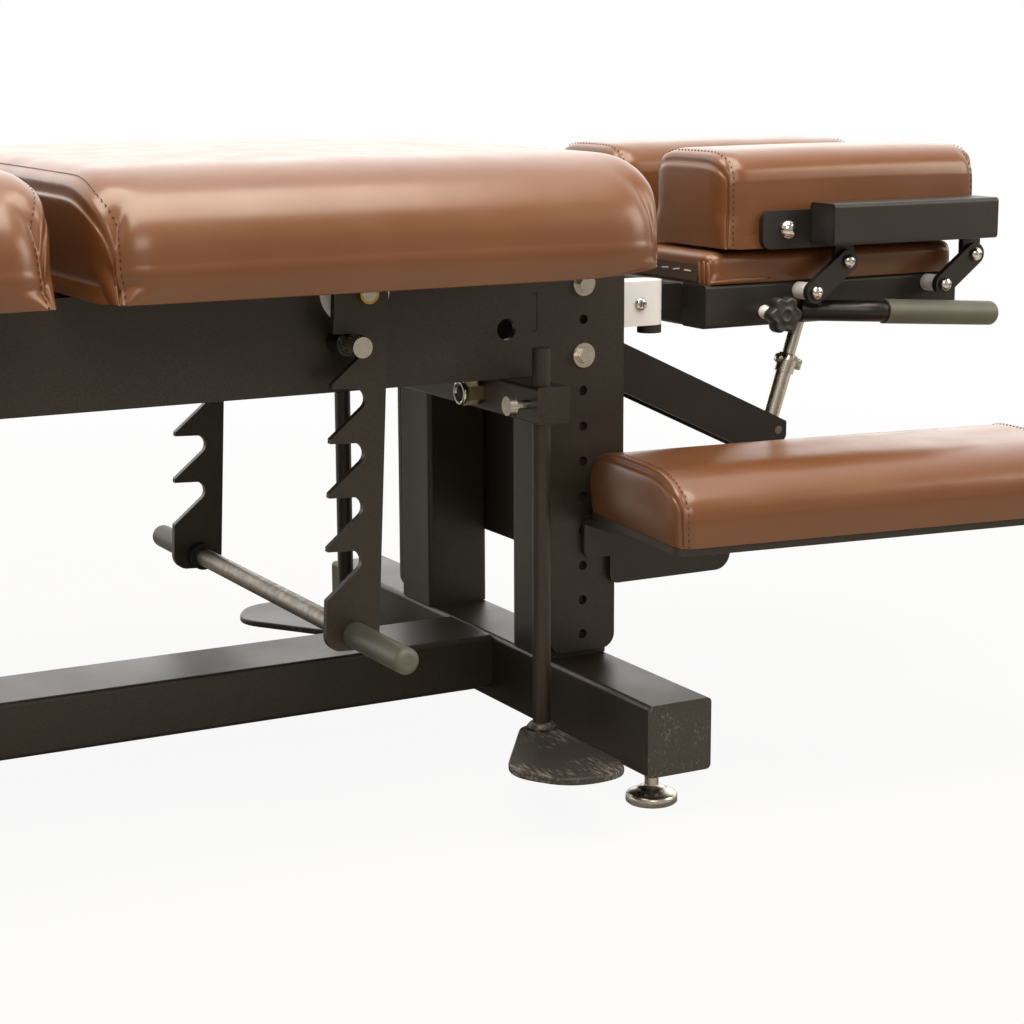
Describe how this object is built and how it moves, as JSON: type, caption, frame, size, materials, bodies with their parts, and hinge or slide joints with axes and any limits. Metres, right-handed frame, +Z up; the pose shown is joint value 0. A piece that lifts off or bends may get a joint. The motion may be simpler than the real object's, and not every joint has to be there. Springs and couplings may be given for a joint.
{
  "type": "chiropractic table",
  "caption": "Cushioned treatment table on an H-leg steel frame, with a hinged ratchet body section, lifting and tilting head section, foot pedals and a swivelling armrest.",
  "frame": {"origin": "on the floor, at the middle of the whole length and width, armrest included", "axes": "+X towards the head end, +Y across the table, +Z up"},
  "size_m": [1.8303, 0.7413, 0.558],
  "materials": {
    "powder_coat": "satin dark bronze powder coat on steel",
    "zinc_hardware": "zinc plated steel fasteners",
    "chrome_steel": "bright plated steel",
    "brass": "yellow passivated nut",
    "white_nylon": "natural white nylon",
    "black_rubber": "black rubber",
    "grey_rubber": "grey rubber hand grip",
    "moulded_plastic": "black moulded nylon",
    "plywood": "birch plywood",
    "brown_vinyl": "saddle brown upholstery vinyl over foam"
  },
  "bodies": {
    "frame": {"head_cross_member": "powder_coat", "foot_cross_member": "powder_coat", "base_rail": "powder_coat", "head_posts": "powder_coat", "foot_posts": "powder_coat", "side_plate_near": "powder_coat", "side_plate_far": "powder_coat", "frame_bolts": "zinc_hardware", "head_end_plate": "powder_coat", "frame_cross_ties": "powder_coat", "catch_sleeves": "powder_coat", "catch_pins": "chrome_steel", "foot_lock_nuts": "zinc_hardware", "armrest_bracket_near": "powder_coat", "pivot_blocks": "white_nylon", "block_screws": "zinc_hardware", "block_stubs": "black_rubber", "section_pivot_pins": "zinc_hardware", "strut_arm": "powder_coat", "deck_boards": "plywood", "pelvic_cushion": "brown_vinyl", "leg_cushion": "brown_vinyl"},
    "levelling_foot_head_near": {"levelling_foot_head_near": "zinc_hardware"},
    "levelling_foot_head_far": {"levelling_foot_head_far": "zinc_hardware"},
    "levelling_foot_foot_near": {"levelling_foot_foot_near": "zinc_hardware"},
    "levelling_foot_foot_far": {"levelling_foot_foot_far": "zinc_hardware"},
    "body_section": {"body_board": "plywood", "body_rails": "powder_coat", "body_cushion": "brown_vinyl", "ratchet_pivot_bolts": "zinc_hardware", "pivot_nuts": "brass", "glide_washers": "white_nylon"},
    "ratchet": {"ratchet_plate_near": "powder_coat", "ratchet_plate_far": "powder_coat", "ratchet_bar": "chrome_steel", "ratchet_grips": "grey_rubber"},
    "pedals": {"pedal_rods": "powder_coat", "foot_pedals": "powder_coat", "pedal_cross_bar": "powder_coat", "pedal_bar_hardware": "zinc_hardware"},
    "head_section": {"head_frame": "powder_coat", "head_platform_pad": "brown_vinyl", "link_spacers": "white_nylon", "link_bolts": "zinc_hardware", "tilt_handle": "powder_coat", "handle_grip": "grey_rubber"},
    "front_links": {"front_lift_links": "powder_coat"},
    "rear_links": {"rear_lift_links": "powder_coat"},
    "head_carriage": {"head_side_bars": "powder_coat", "side_bar_plugs": "moulded_plastic", "side_bar_bolts": "zinc_hardware", "head_cushion_boards": "plywood", "head_cushions": "brown_vinyl"},
    "lock_knob": {"lock_knob": "moulded_plastic"},
    "strut_lower": {"strut_tube": "chrome_steel"},
    "strut_upper": {"strut_rod": "chrome_steel"},
    "armrest_near": {"armrest_board_near": "powder_coat", "armrest_cushion_near": "brown_vinyl"}
  },
  "joints": [
    {"name": "body_tilt", "type": "hinge", "parent": "frame", "child": "body_section", "pos_m": [0.004, 0, 0.4453], "axis": [0, -1, 0], "range_deg": [0, 10]},
    {"name": "ratchet_swing", "type": "hinge", "parent": "body_section", "child": "ratchet", "pos_m": [0.25, 0, 0.4453], "axis": [0, -1, 0], "range_deg": [-0.5, 20.5]},
    {"name": "pedal_press", "type": "slide", "parent": "frame", "child": "pedals", "axis": [0, 0, -1], "range_m": [0, 0.04], "stiffness_N_per_m": 3000, "springref_m": -0.04},
    {"name": "head_tilt", "type": "hinge", "parent": "frame", "child": "head_section", "pos_m": [0.536, 0, 0.417], "axis": [0, -1, 0], "range_deg": [-12, 15]},
    {"name": "strut_pivot", "type": "hinge", "parent": "frame", "child": "strut_lower", "pos_m": [0.711, -0.07542, 0.2846], "axis": [0, -1, 0], "range_deg": [-6.5, 7.5]},
    {"name": "strut_slide", "type": "slide", "parent": "strut_lower", "child": "strut_upper", "axis": [0.314, 0, 0.9494], "range_m": [-0.046, 0.056]},
    {"name": "link_lift", "type": "hinge", "parent": "head_section", "child": "front_links", "pos_m": [0.709, 0, 0.421], "axis": [0, -1, 0], "range_deg": [0, 43]},
    {"name": "rear_link_swing", "type": "hinge", "parent": "head_section", "child": "rear_links", "pos_m": [0.859, 0, 0.421], "axis": [0, -1, 0], "range_deg": [-0.5, 43.5]},
    {"name": "carriage_level", "type": "hinge", "parent": "front_links", "child": "head_carriage", "pos_m": [0.74494, 0, 0.44808], "axis": [0, -1, 0], "range_deg": [-43.5, 0.5]},
    {"name": "knob_turn", "type": "hinge", "parent": "head_section", "child": "lock_knob", "pos_m": [0.6695, -0.16342, 0.403], "axis": [0, -1, 0], "continuous": true},
    {"name": "armrest_swivel_near", "type": "hinge", "parent": "frame", "child": "armrest_near", "pos_m": [0.499, -0.17542, 0.231], "axis": [0, 0, -1], "range_deg": [-6.5, 30]},
    {"name": "level_head_near", "type": "slide", "parent": "frame", "child": "levelling_foot_head_near", "axis": [0, 0, -1], "range_m": [-0.012, 0.012]},
    {"name": "level_head_far", "type": "slide", "parent": "frame", "child": "levelling_foot_head_far", "axis": [0, 0, -1], "range_m": [-0.012, 0.012]},
    {"name": "level_foot_near", "type": "slide", "parent": "frame", "child": "levelling_foot_foot_near", "axis": [0, 0, -1], "range_m": [-0.012, 0.012]},
    {"name": "level_foot_far", "type": "slide", "parent": "frame", "child": "levelling_foot_foot_far", "axis": [0, 0, -1], "range_m": [-0.012, 0.012]}
  ],
  "couplings": [
    {"joint": "ratchet_swing", "follows": "body_tilt", "ratio": 2},
    {"joint": "strut_pivot", "follows": "head_tilt", "ratio": 0.4646},
    {"joint": "strut_slide", "follows": "head_tilt", "m_per_rad": 0.2077},
    {"joint": "rear_link_swing", "follows": "link_lift", "ratio": 1},
    {"joint": "carriage_level", "follows": "link_lift", "ratio": -1}
  ]
}
